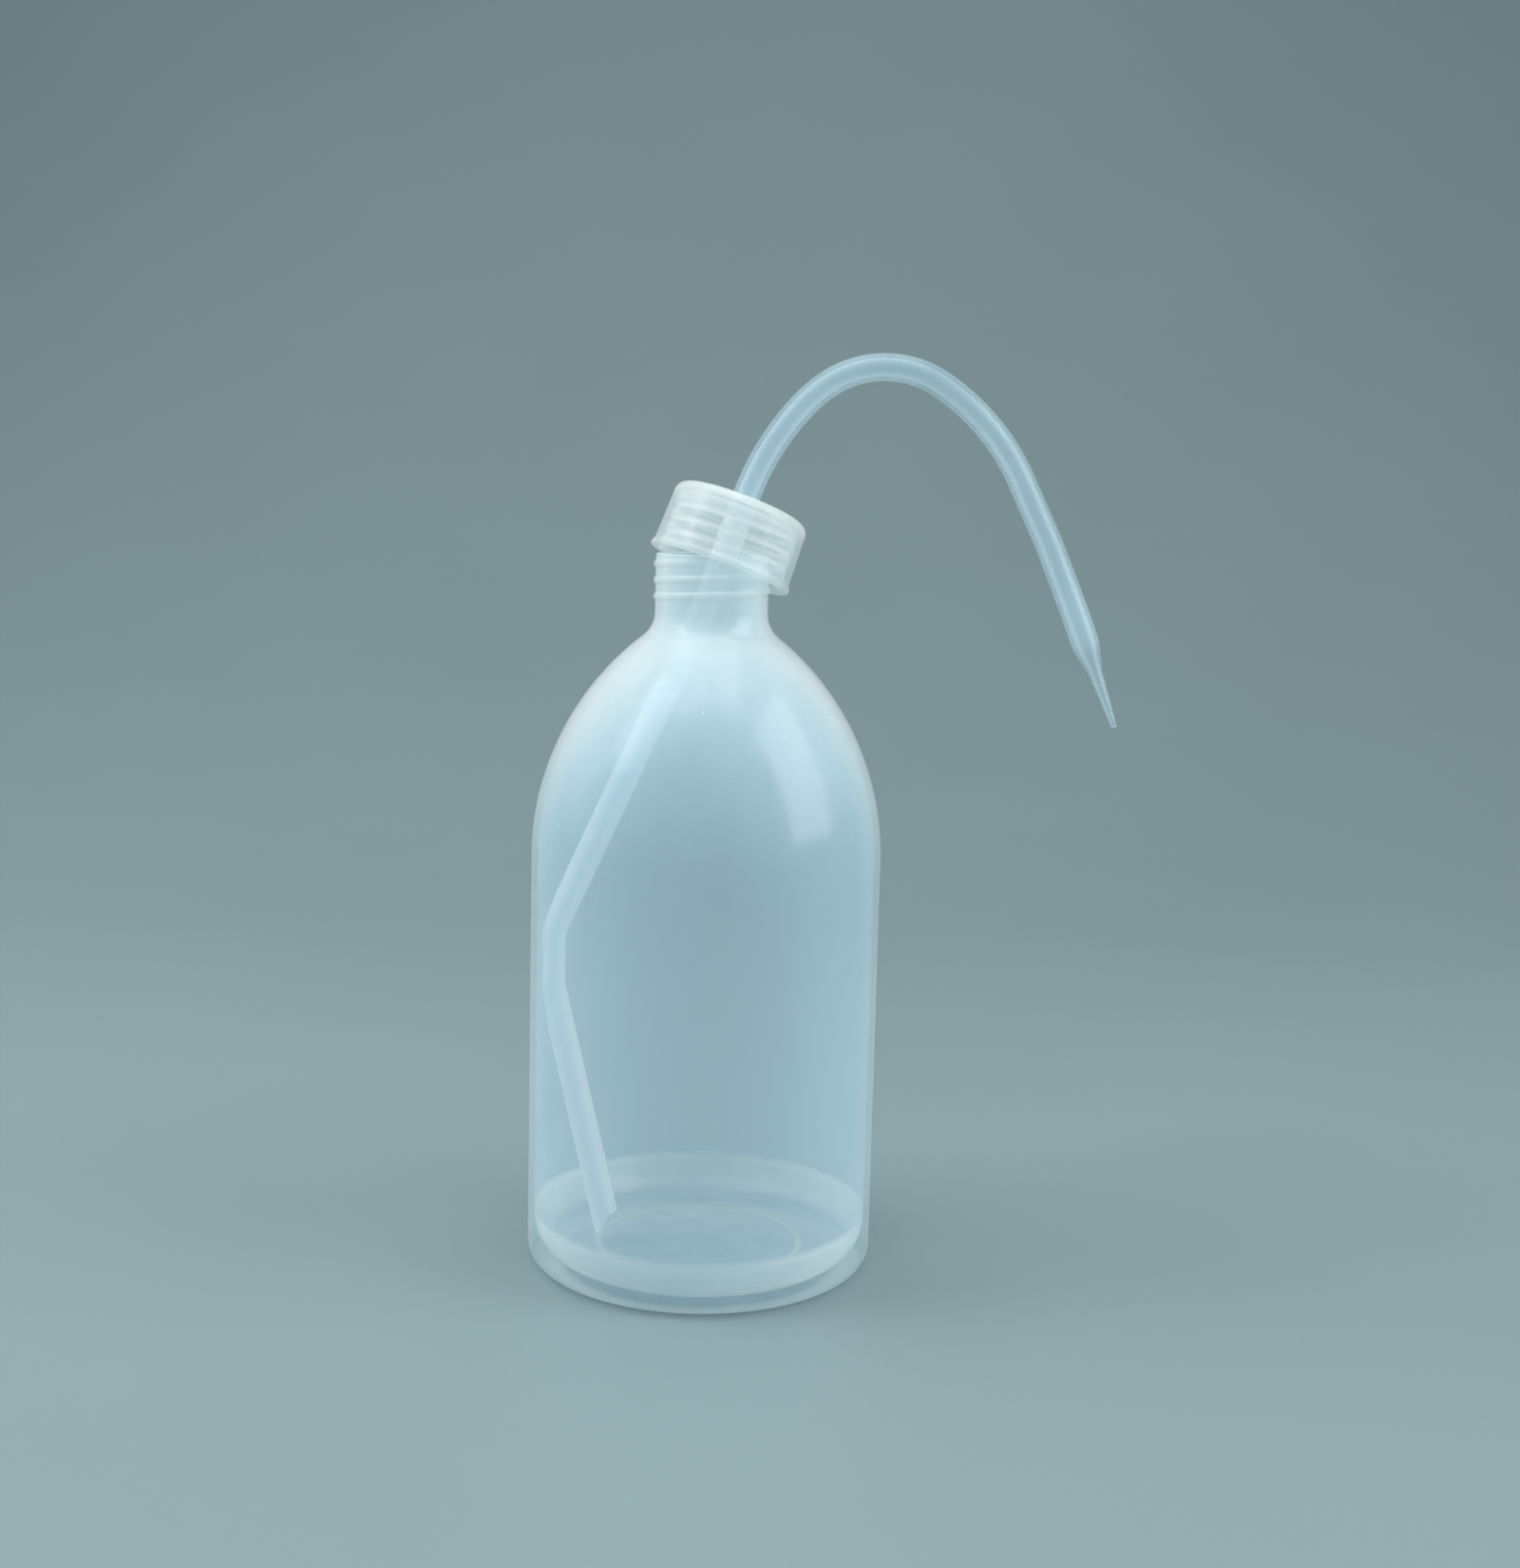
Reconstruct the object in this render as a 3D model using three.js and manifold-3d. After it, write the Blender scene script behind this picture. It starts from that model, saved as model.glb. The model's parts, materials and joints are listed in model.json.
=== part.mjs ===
// A laboratory wash bottle in three pieces: a blown fluoropolymer bottle, a screw cap that
// stands askew on its neck, and one bent delivery tube that runs through the cap, from its dip
// leg at the bottle's floor to the fine nozzle at the end of its spout.
//
// Millimetres, +Z up, and the spout reaches out along +X. The pieces are made about the
// bottle's own axis, and the finished object is then centred over the origin.

import * as THREE from "three";
import { mergeVertices } from "three/addons/utils/BufferGeometryUtils.js";
import Module from "manifold-3d";

const wasm = await Module();
wasm.setup();

// ---------------------------------------------------------------- driving dimensions

const BOTTLE = {
  radius: 37.6,
  wall: 1.3,
  height: 154.8,
  shoulderStart: 90, // where the straight side ends
  shoulderArc: 60, // radius of the shoulder's arc, seen from the side
  neckRadius: 12,
  neckFillet: 6.5, // radius where the shoulder turns up into the neck
  heelRadius: 5, // rounding between the side and the standing ring
  innerHeelRadius: 9, // the same rounding inside, where the plastic is thicker
  floor: 1.8, // thickness of the base
  ringInner: 29.5, // inner edge of the flat ring that the bottle stands on
  pushUpRadius: 22, // the raised middle of the base
  pushUpHeight: 2.2,
  pushUpCrown: 0.6, // how much higher its centre is
  pushUpEdge: 2, // width of the rounding at its edge, and how far that drops
  pushUpDrop: 0.3,
  lipRounding: 0.4,
  sides: 40,
};

const CAP = {
  radius: 15.1,
  bore: 13.7,
  height: 15,
  top: 2.2, // thickness of its flat top
  edge: 2.4, // rounding of its upper edge
  bead: 0.5, // how far the bead at its rim stands out
  beadHeight: 2,
  beadRounding: 0.6,
  beadSlope: 0.7, // height over which the bead runs back into the wall
  innerRounding: 0.8, // between the bore and the top
  holeClearance: 0.3, // round the tube
  holeSides: 24,
  centre: new THREE.Vector3(1.4, 0.6, 151.5), // middle of its rim
  leanAside: 19, // degrees towards the spout
  leanBack: 9.5, // degrees away from the front
  sides: 40,
};

const THREAD = {
  pitch: 3.45,
  section: 0.8, // radius of the round ridge, most of it sunk in the wall
  depth: 0.35, // how far it stands out
  fade: 0.15, // part of a turn over which each end sinks into the wall
  stepsPerTurn: 20,
  neckTurns: 2.55,
  neckStart: 143.9,
  capTurns: 2.4,
  capStart: 3.4,
};

const TUBE = {
  radius: 3,
  bore: 2,
  straight: 16.5, // from the cap's rim to the first bend of the spout
  bends: [
    { radius: 58, turn: 22 },
    { radius: 35, turn: 11.5 },
    { radius: 21.5, turn: 70.5 },
    { radius: 48, turn: 30.8 },
    { radius: 300, turn: 6 },
  ],
  lastRun: 6, // straight length between the last bend and the nozzle
  dip: [
    // corners of the dip leg, each with the radius of its bend
    { corner: new THREE.Vector3(-1.4, -0.7, 143.5), radius: 60 },
    { corner: new THREE.Vector3(-32.8, -3.3, 73), radius: 12 },
    { corner: new THREE.Vector3(-32.7, -3.6, 61.5), radius: 12 },
  ],
  dipEnd: new THREE.Vector3(-20.4, -3.6, 9.3), // middle of its slanting end
  bevel: 49, // degrees that this end is cut away from square
  stepAngle: 9, // degrees of bend that one straight facet stands for
};

const NOZZLE = {
  length: 19.7,
  shoulder: 9, // length over which the tube is drawn down quickly
  afterShoulder: 0.48, // its width there, and at the tip, over the tube's own width
  tip: 0.22,
  steps: 8,
};

const SAME_POINT = 1e-4; // vertices closer than this are one
const OVERSHOOT = 1; // how far a cutting body reaches past the face that it cuts

// ---------------------------------------------------------------- helpers

const radians = THREE.MathUtils.degToRad;
const degrees = THREE.MathUtils.radToDeg;

function solid(geometry, matrix = new THREE.Matrix4()) {
  const bare = geometry.clone().applyMatrix4(matrix);
  bare.deleteAttribute("normal");
  bare.deleteAttribute("uv");
  const merged = mergeVertices(bare, SAME_POINT);
  return new wasm.Manifold(
    new wasm.Mesh({
      numProp: 3,
      vertProperties: merged.attributes.position.array,
      triVerts: new Uint32Array(merged.index.array),
    }),
  );
}

function geometryOf(manifold) {
  const { vertProperties, triVerts } = manifold.getMesh();
  const geometry = new THREE.BufferGeometry();
  geometry.setAttribute("position", new THREE.BufferAttribute(vertProperties, 3));
  geometry.setIndex(new THREE.BufferAttribute(triVerts, 1));
  geometry.computeVertexNormals();
  return geometry;
}

// Points of an arc in a half section, from one angle to another, both in degrees.
function arc(cx, cy, radius, from, to, steps) {
  return Array.from({ length: steps + 1 }, (_, i) => {
    const angle = radians(THREE.MathUtils.lerp(from, to, i / steps));
    return new THREE.Vector2(cx + radius * Math.cos(angle), cy + radius * Math.sin(angle));
  });
}

// A half section turned about the Z axis. It runs from the bottom of the axis to its top.
function turned(profile, sides) {
  const lathe = new THREE.LatheGeometry(profile, sides);
  return solid(lathe, new THREE.Matrix4().makeRotationX(Math.PI / 2));
}

// A curve that ExtrudeGeometry samples at chosen stations instead of at equal distances.
class StationedCurve extends THREE.Curve {
  constructor(stations) {
    super();
    this.stations = stations;
  }
  get steps() {
    return this.stations.length - 1;
  }
  station(u) {
    return this.stations[Math.round(u * this.steps)];
  }
  getPointAt(u, target = new THREE.Vector3()) {
    return target.copy(this.station(u).point);
  }
  getTangentAt(u, target = new THREE.Vector3()) {
    return target.copy(this.station(u).heading);
  }
}

function ringShape(outer, inner) {
  const shape = new THREE.Shape().absarc(0, 0, outer, 0, 2 * Math.PI, false);
  if (inner) shape.holes.push(new THREE.Path().absarc(0, 0, inner, 0, 2 * Math.PI, true));
  return shape;
}

function swept(shape, curve, curveSegments) {
  return new THREE.ExtrudeGeometry(shape, {
    steps: curve.steps,
    curveSegments,
    extrudePath: curve,
  });
}

// A right-hand helical ridge about Z, sunk to leave THREAD.depth standing out of a wall.
// side is 1 for a thread on the outside of the wall and -1 for one inside a bore.
function threadRidge(wallRadius, side, start, turns) {
  const crest = wallRadius + side * (THREAD.depth - THREAD.section);
  const count = Math.round(turns * THREAD.stepsPerTurn);
  const nudge = 0.02 / THREAD.stepsPerTurn;
  const point = (turn) => {
    const fromEnd = Math.min(turn, turns - turn);
    const sunk = THREAD.depth * (1 - THREE.MathUtils.smoothstep(fromEnd, 0, THREAD.fade));
    const radius = crest - side * sunk;
    const angle = 2 * Math.PI * turn;
    const height = start + THREAD.pitch * turn;
    return new THREE.Vector3(radius * Math.cos(angle), radius * Math.sin(angle), height);
  };
  const stations = Array.from({ length: count + 1 }, (_, i) => {
    const turn = (turns * i) / count;
    const heading = point(turn + nudge).sub(point(turn - nudge)).normalize();
    return { point: point(turn), heading };
  });
  return solid(swept(ringShape(THREAD.section), new StationedCurve(stations), 4));
}

// ---------------------------------------------------------------- the bottle

// The base's half section, raised by the thickness of the plastic for its upper side.
function baseSection(raised) {
  const { pushUpRadius, pushUpHeight, pushUpCrown, pushUpEdge, pushUpDrop } = BOTTLE;
  const level = pushUpHeight + raised;
  return [
    new THREE.Vector2(0, level + pushUpCrown),
    new THREE.Vector2(pushUpRadius - pushUpEdge, level),
    new THREE.Vector2(pushUpRadius, level - pushUpDrop),
  ];
}

// Half section of the side, shoulder and neck at a depth below the outer surface. Both arcs keep
// their centres, so the wall is equally thick all over.
function sideSection(depth) {
  const { radius, shoulderArc, shoulderStart, neckRadius, neckFillet } = BOTTLE;
  const shoulderX = radius - shoulderArc;
  const filletX = neckRadius + neckFillet;
  const filletRise = Math.sqrt((shoulderArc + neckFillet) ** 2 - (filletX - shoulderX) ** 2);
  const meet = degrees(Math.atan2(filletRise, filletX - shoulderX));
  return [
    ...arc(shoulderX, shoulderStart, shoulderArc - depth, 0, meet, 9),
    ...arc(filletX, shoulderStart + filletRise, neckFillet + depth, meet + 180, 180, 4).slice(1),
  ];
}

function bottle() {
  const { radius, height, neckRadius, wall, lipRounding, sides } = BOTTLE;
  const { ringInner, heelRadius, innerHeelRadius, floor } = BOTTLE;
  const outside = turned(
    [
      ...baseSection(0),
      new THREE.Vector2(ringInner, 0),
      ...arc(radius - heelRadius, heelRadius, heelRadius, -90, 0, 4),
      ...sideSection(0),
      ...arc(neckRadius - lipRounding, height - lipRounding, lipRounding, 0, 90, 2),
      new THREE.Vector2(0, height),
    ],
    sides,
  );
  const heelX = radius - wall - innerHeelRadius;
  const mouth = neckRadius - wall;
  const hollow = turned(
    [
      ...baseSection(floor),
      ...arc(heelX, floor + innerHeelRadius, innerHeelRadius, -90, 0, 6),
      ...sideSection(wall),
      new THREE.Vector2(mouth, height - lipRounding),
      new THREE.Vector2(mouth + lipRounding, height),
      new THREE.Vector2(mouth + lipRounding, height + OVERSHOOT),
      new THREE.Vector2(0, height + OVERSHOOT),
    ],
    sides,
  );
  const thread = threadRidge(neckRadius, 1, THREAD.neckStart, THREAD.neckTurns);
  return geometryOf(outside.add(thread).subtract(hollow));
}

// ---------------------------------------------------------------- the screw cap

// The cap stands on its own rim here, with its axis along Z.
function screwCap() {
  const { radius, bore, height, top, edge, bead, beadHeight, beadRounding, beadSlope } = CAP;
  const { innerRounding, holeClearance, holeSides, sides } = CAP;
  const shell = turned(
    [
      new THREE.Vector2(0, 0),
      ...arc(radius + bead - beadRounding, beadRounding, beadRounding, -90, 0, 2),
      new THREE.Vector2(radius + bead, beadHeight - beadSlope),
      new THREE.Vector2(radius, beadHeight),
      ...arc(radius - edge, height - edge, edge, 0, 90, 4),
      new THREE.Vector2(0, height),
    ],
    sides,
  );
  const under = height - top;
  const inner = turned(
    [
      new THREE.Vector2(0, -OVERSHOOT),
      new THREE.Vector2(bore, -OVERSHOOT),
      ...arc(bore - innerRounding, under - innerRounding, innerRounding, 0, 90, 2),
      new THREE.Vector2(0, under),
    ],
    sides,
  );
  const holeRadius = TUBE.radius + holeClearance;
  const drill = new THREE.CylinderGeometry(holeRadius, holeRadius, top + 2 * OVERSHOOT, holeSides);
  const place = new THREE.Matrix4()
    .makeTranslation(0, 0, height - top / 2)
    .multiply(new THREE.Matrix4().makeRotationX(Math.PI / 2));
  const thread = threadRidge(bore, -1, THREAD.capStart, THREAD.capTurns);
  return geometryOf(shell.subtract(inner).add(thread).subtract(solid(drill, place)));
}

// ---------------------------------------------------------------- the delivery tube

// The cap's frame: its axis, and the axis that all the spout's bends turn about.
const capTurn = new THREE.Euler(radians(-CAP.leanBack), radians(CAP.leanAside), 0);
const capAxis = new THREE.Vector3(0, 0, 1).applyEuler(capTurn);
const bendAxis = new THREE.Vector3(0, 1, 0).applyEuler(capTurn);

// Stations round a bend that starts at a point, along a heading, and turns towards a side.
function bendStations(point, heading, towards, radius, turn) {
  const steps = Math.max(2, Math.ceil(turn / TUBE.stepAngle));
  const centre = point.clone().addScaledVector(towards, radius);
  return Array.from({ length: steps + 1 }, (_, i) => {
    const angle = radians((turn * i) / steps);
    return {
      point: centre
        .clone()
        .addScaledVector(towards, -radius * Math.cos(angle))
        .addScaledVector(heading, radius * Math.sin(angle)),
      heading: heading
        .clone()
        .multiplyScalar(Math.cos(angle))
        .addScaledVector(towards, Math.sin(angle)),
    };
  });
}

// From the cap's rim along the cap's axis and round the arch to the tip of the nozzle.
function spoutStations() {
  const stations = [];
  let point = CAP.centre.clone().addScaledVector(capAxis, TUBE.straight);
  let heading = capAxis;
  for (const { radius, turn } of TUBE.bends) {
    const towards = bendAxis.clone().cross(heading);
    const bend = bendStations(point, heading, towards, radius, turn);
    stations.push(...bend.slice(stations.length ? 1 : 0));
    ({ point, heading } = bend.at(-1));
  }
  const nozzleStart = point.clone().addScaledVector(heading, TUBE.lastRun);
  for (let i = 0; i <= NOZZLE.steps; i++) {
    const along = (NOZZLE.length * i) / NOZZLE.steps;
    stations.push({ point: nozzleStart.clone().addScaledVector(heading, along), heading });
  }
  return { stations, nozzleStart, heading };
}

// From the dip leg's lower end, round its corners and up to the cap. The corners are listed
// from the top, so the leg is laid out downwards and then turned round.
function dipStations() {
  const stations = [];
  let heading = capAxis.clone().negate();
  TUBE.dip.forEach(({ corner, radius }, i) => {
    const next = TUBE.dip[i + 1]?.corner ?? TUBE.dipEnd;
    const out = next.clone().sub(corner).normalize();
    const turn = heading.angleTo(out);
    const towards = out.clone().addScaledVector(heading, -Math.cos(turn)).normalize();
    const start = corner.clone().addScaledVector(heading, -radius * Math.tan(turn / 2));
    stations.push(...bendStations(start, heading, towards, radius, degrees(turn)));
    heading = out;
  });
  stations.push({ point: TUBE.dipEnd.clone().addScaledVector(heading, TUBE.radius), heading });
  const end = stations.at(-1);
  const reversed = stations
    .reverse()
    .map((s) => ({ point: s.point, heading: s.heading.clone().negate() }));
  return { stations: reversed, end };
}

// Width of the nozzle at a distance from its start, over the tube's own width.
function nozzleWidth(along) {
  const { length, shoulder, afterShoulder, tip } = NOZZLE;
  if (along < shoulder) {
    const drawn = (1 - Math.cos((Math.PI * along) / shoulder)) / 2;
    return THREE.MathUtils.lerp(1, afterShoulder, drawn);
  }
  return THREE.MathUtils.lerp(afterShoulder, tip, (along - shoulder) / (length - shoulder));
}

// Narrows the last straight run of the swept tube, wall and bore alike.
function drawNozzle(geometry, start, heading) {
  const position = geometry.attributes.position;
  const vertex = new THREE.Vector3();
  for (let i = 0; i < position.count; i++) {
    vertex.fromBufferAttribute(position, i);
    const along = vertex.clone().sub(start).dot(heading);
    const centre = start.clone().addScaledVector(heading, along);
    const beside = vertex.clone().sub(centre);
    if (along <= 0 || beside.length() > TUBE.radius + SAME_POINT) continue;
    vertex.copy(centre).addScaledVector(beside, nozzleWidth(along));
    position.setXYZ(i, vertex.x, vertex.y, vertex.z);
  }
}

function deliveryTube() {
  const dip = dipStations();
  const spout = spoutStations();
  const line = new StationedCurve([...dip.stations, ...spout.stations]);
  const tube = swept(ringShape(TUBE.radius, TUBE.bore), line, 7);
  drawNozzle(tube, spout.nozzleStart, spout.heading);

  // The dip leg's end is cut aslant, with its long side against the bottle's wall.
  const knifeDepth = 6 * TUBE.radius;
  const knifeWidth = 2 * knifeDepth;
  const knife = new THREE.BoxGeometry(knifeWidth, knifeWidth, knifeDepth);
  const lean = Math.atan2(-dip.end.heading.x, -dip.end.heading.z);
  const slant = new THREE.Matrix4().makeRotationY(lean - radians(TUBE.bevel));
  const place = new THREE.Matrix4()
    .makeTranslation(TUBE.dipEnd.x, TUBE.dipEnd.y, TUBE.dipEnd.z)
    .multiply(slant)
    .multiply(new THREE.Matrix4().makeTranslation(0, 0, -knifeDepth / 2));
  return geometryOf(solid(tube).subtract(solid(knife, place)));
}

// ---------------------------------------------------------------- the object

function piece(name, geometry, colour, roughness) {
  const material = new THREE.MeshStandardMaterial({ color: colour, roughness, metalness: 0 });
  const mesh = new THREE.Mesh(geometry, material);
  mesh.name = name;
  return mesh;
}

const washBottle = new THREE.Group();

washBottle.add(piece("bottle", bottle(), 0xc9d6dc, 0.35));

const cap = piece("screw_cap", screwCap(), 0xdfe8ea, 0.4);
cap.position.copy(CAP.centre);
cap.rotation.copy(capTurn);
washBottle.add(cap);

washBottle.add(piece("delivery_tube", deliveryTube(), 0xd5e0e4, 0.3));

const reach = new THREE.Box3().setFromObject(washBottle, true);
washBottle.position.x = -(reach.min.x + reach.max.x) / 2;

export default washBottle;
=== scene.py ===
"""A laboratory wash bottle of milky, translucent plastic: the blown bottle, its loose screw cap
and the one bent tube that runs through the cap, on a pale studio floor.

Lengths in the settings are metres. The bottle stands at z = 0 and its spout reaches out along +X.
"""

import json
import math

import bpy
import numpy as np
from bpy.props import (
    FloatProperty,
    FloatVectorProperty,
    IntProperty,
    PointerProperty,
)
from mathutils import Matrix, Vector


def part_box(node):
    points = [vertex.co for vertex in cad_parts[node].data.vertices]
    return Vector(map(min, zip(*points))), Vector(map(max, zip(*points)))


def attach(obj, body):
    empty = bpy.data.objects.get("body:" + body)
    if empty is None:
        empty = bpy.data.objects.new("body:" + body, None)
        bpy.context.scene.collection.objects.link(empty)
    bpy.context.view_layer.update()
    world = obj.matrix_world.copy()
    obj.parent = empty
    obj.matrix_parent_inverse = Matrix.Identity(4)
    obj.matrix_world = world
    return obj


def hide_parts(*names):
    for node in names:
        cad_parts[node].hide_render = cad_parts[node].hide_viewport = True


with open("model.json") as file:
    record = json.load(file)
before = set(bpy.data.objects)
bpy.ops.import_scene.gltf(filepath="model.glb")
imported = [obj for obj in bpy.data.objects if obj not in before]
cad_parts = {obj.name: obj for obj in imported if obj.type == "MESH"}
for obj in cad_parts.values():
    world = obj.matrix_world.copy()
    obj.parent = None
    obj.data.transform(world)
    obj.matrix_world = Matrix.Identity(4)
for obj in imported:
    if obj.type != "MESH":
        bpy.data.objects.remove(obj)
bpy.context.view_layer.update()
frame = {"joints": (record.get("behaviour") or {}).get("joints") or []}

bl_info = {
    "name": "Wash Bottle",
    "version": (1, 0, 0),
    "blender": (4, 5, 0),
    "location": "3D View > Sidebar > Wash Bottle",
    "description": "Builds a translucent laboratory wash bottle with a loose cap and a bent tube",
    "category": "Add Mesh",
}

MM = 0.001

BOTTLE_LOW, BOTTLE_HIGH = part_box("bottle")
JOINTS = {joint["name"]: joint for joint in frame["joints"]}
CAP_RIM = Vector(JOINTS["cap_turn"]["pos_m"])
CAP_AXIS = Vector(JOINTS["cap_turn"]["axis"]).normalized()
BOTTLE_AXIS = Vector(((BOTTLE_LOW.x + BOTTLE_HIGH.x) / 2, 0, 0))

# The two threads. A start is the height of the thread's first point above its piece's foot.
THREAD_DEPTH = 0.4 * MM
THREAD_HALF_WIDTH = 1.0 * MM
NECK_THREAD = {"start": 143.9 * MM, "turns": 2.75, "pitch": 3.45 * MM}
CAP_THREAD = {"start": 2.7 * MM, "turns": 3.2, "pitch": 3.0 * MM}

# Small shapes of the bottle.
LIP_ROUNDING = 0.45 * MM
STEP_ROUNDING = 0.4 * MM
CROWN_RISE = 0.7 * MM
CROWN_BEND_RISE = 0.25 * MM
CROWN_BEND_IN = 3 * MM
FLOOR_CROWN_RISE = 0.6 * MM
FLOOR_STEP_DROP = 0.3 * MM
FLOOR_STEP_IN = 2 * MM

# Small shapes of the screw cap.
RIM_ROUNDING = 0.5 * MM
BEAD_TOP = 1.7 * MM
BEAD_SLOPE = 0.9 * MM
TOP_DISH = 0.3 * MM
HOLE_EDGE = 0.35 * MM
HOLE_CHAMFER = (0.3 * MM, 0.2 * MM)
INNER_ROUNDING = 1.2 * MM


# ------------------------------------------------------------------ settings


def length(name, default, description):
    """A length in metres, written here in millimetres."""
    return FloatProperty(
        name=name,
        description=description,
        default=default * MM,
        min=0,
        precision=5,
        unit="LENGTH",
    )


def share(name, default, description):
    """A share between none and all."""
    return FloatProperty(
        name=name,
        description=description,
        default=default,
        min=0,
        max=1,
        subtype="FACTOR",
    )


def colour(name, default, description):
    """A colour as linear red, green and blue."""
    return FloatVectorProperty(
        name=name,
        description=description,
        default=default,
        min=0,
        max=1,
        size=3,
        subtype="COLOR",
    )


class BottleSettings(bpy.types.PropertyGroup):
    """Sizes and finish of the blown bottle."""

    radius: FloatProperty(
        name="Radius",
        description="Outer radius of the straight side",
        default=(BOTTLE_HIGH.x - BOTTLE_LOW.x) / 2,
        precision=5,
        unit="LENGTH",
    )
    height: FloatProperty(
        name="Height",
        description="Height of the mouth above the floor",
        default=BOTTLE_HIGH.z,
        precision=5,
        unit="LENGTH",
    )
    wall: length("Wall", 1.3, "Thickness of the wall")
    shoulder_start: length("Shoulder start", 90, "Height where the straight side ends")
    shoulder_arc: length("Shoulder arc", 60, "Radius of the shoulder, seen from the side")
    neck_radius: length("Neck radius", 12, "Outer radius of the neck")
    neck_fillet: length("Neck fillet", 6.5, "Radius where the shoulder turns up into the neck")
    heel: length("Heel", 5, "Rounding between the side and the standing ring")
    inner_heel: length("Inner heel", 9, "The same rounding inside, where the plastic is thicker")
    ring_inner: length("Ring inner edge", 29.5, "Inner radius of the flat standing ring")
    push_up_radius: length("Push-up radius", 22, "Radius of the raised middle of the base")
    push_up: length("Push-up", 2.2, "Height of the raised middle of the base")
    floor: length("Floor", 1.8, "Thickness of the base")
    unevenness: length("Unevenness", 0.07, "How far the blown wall wanders from true")
    tint: colour("Tint", (0.62, 0.88, 1.0), "Colour of the light that thin plastic scatters")
    pale: colour("Pale", (0.9, 0.95, 0.94), "Colour of the light that thick plastic scatters")
    haze: share("Haze", 0.12, "How milky the thin wall of the side is")
    neck_haze: share("Neck haze", 0.52, "How milky the thicker plastic of the neck is")
    # Partly the thicker plastic of the base's corner, partly painted glow of light refracted
    # through that corner.
    heel_haze_and_glow: share("Heel haze", 0.64, "How much milkier the thick corner of the base is")


class CapSettings(bpy.types.PropertyGroup):
    """Sizes and finish of the screw cap."""

    radius: length("Radius", 15.1, "Outer radius of its wall at the rim")
    bore: length("Bore", 13.7, "Inner radius of its wall")
    height: length("Height", 15, "Height from the rim to the top")
    top: length("Top", 2.2, "Thickness of its flat top")
    edge: length("Edge", 2.4, "Rounding of its upper edge")
    draft: length("Draft", 0.35, "How much narrower the wall is at the top")
    bead: length("Bead", 0.45, "How far the bead at its rim stands out")
    hole: length("Hole", 3.03, "Radius of the hole that holds the tube")
    tint: colour("Tint", (0.82, 0.93, 0.97), "Colour of the light that its thin parts scatter")
    pale: colour("Pale", (0.93, 0.965, 0.93), "Colour of the light that its thick parts scatter")
    haze: share("Haze", 0.245, "How milky the cap is")


class TubeSettings(bpy.types.PropertyGroup):
    """Sizes and finish of the delivery tube."""

    radius: length("Radius", 2.96, "Outer radius of the tube")
    bore: length("Bore", 2, "Inner radius of the tube")
    straight: length("Straight", 16.5, "From the cap's rim to the spout's first bend")
    last_run: length("Last run", 6, "Straight length before the nozzle")
    nozzle: length("Nozzle", 19.7, "Length of the drawn nozzle")
    nozzle_shoulder: length("Nozzle shoulder", 9, "Length over which it narrows quickly")
    after_shoulder: share("After shoulder", 0.48, "Its width there over the tube's")
    nozzle_tip: share("Nozzle tip", 0.2, "Width of the nozzle's tip over the tube's")
    bevel: FloatProperty(
        name="Bevel",
        description="Angle that the dip end is cut away from square",
        default=math.radians(49),
        unit="ROTATION",
    )
    flattening: share("Flattening", 0.16, "How much the tube is flattened at its kink")
    tint: colour("Tint", (0.62, 0.88, 1.0), "Colour of the light that the tube scatters")
    pale: colour("Pale", (0.96, 0.985, 0.98), "Colour of the light that its thick parts scatter")
    haze: share("Haze", 0.16, "How milky the spout is")
    # The dip leg is the same plastic as the spout: its extra milk is painted glow of the light
    # scattered inside the bottle.
    dip_glow_haze: share("Dip haze", 0.72, "How milky the dip leg is")


class StageSettings(bpy.types.PropertyGroup):
    """The floor, the lights and the camera."""

    floor_tint: colour("Floor", (0.225, 0.305, 0.315), "Colour of the paper sweep")
    sweep_depth: FloatProperty(
        name="Sweep depth",
        description="Distance behind the bottle where the paper turns up",
        default=1.15,
        unit="LENGTH",
    )
    camera_distance: FloatProperty(
        name="Camera distance",
        description="Level distance from the camera to the bottle's axis",
        default=0.45,
        unit="LENGTH",
    )
    camera_height: FloatProperty(
        name="Camera height",
        description="Height of the camera above the floor",
        default=0.17,
        unit="LENGTH",
    )
    camera_aside: length("Camera aside", 11.2, "How far the camera stands towards the spout")
    camera_pitch: FloatProperty(
        name="Camera pitch",
        description="How far the camera looks down",
        default=math.radians(8.11),
        unit="ROTATION",
    )
    camera_roll: FloatProperty(
        name="Camera roll",
        description="How far the camera leans, so that the bottle leans towards its spout",
        default=math.radians(1.4),
        unit="ROTATION",
    )
    lens: FloatProperty(
        name="Lens",
        description="Focal length on a 36 mm wide sensor, in millimetres",
        default=50.1,
        subtype="NONE",
    )
    seed: IntProperty(name="Seed", description="Seed of the unevenness", default=7)


# ------------------------------------------------------------------ mesh helpers


def arc(cx, cz, radius, start, end, steps):
    """Points of an arc in a half section, from one angle to another in degrees."""
    angles = np.radians(np.linspace(start, end, steps + 1))
    return np.column_stack((cx + radius * np.cos(angles), cz + radius * np.sin(angles)))


def line(start, end, steps):
    """Points of a straight stretch of a half section, without its first one."""
    t = np.linspace(0, 1, steps + 1)[1:, None]
    return np.asarray(start) * (1 - t) + np.asarray(end) * t


def smooth(low, high, x):
    """0 below low, 1 above high and an S-shaped rise between them."""
    t = np.clip((x - low) / (high - low), 0, 1)
    return t * t * (3 - 2 * t)


def ring_faces(rows, around, closed):
    """Quads that join rows of points into a skin. closed joins the last row to the first."""
    index = np.arange(rows * around).reshape(rows, around)
    low = index if closed else index[:-1]
    high = np.roll(index, -1, axis=0) if closed else index[1:]
    corners = (low, np.roll(low, -1, axis=1), np.roll(high, -1, axis=1), high)
    return np.stack(corners, axis=-1).reshape(-1, 4).tolist()


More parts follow.
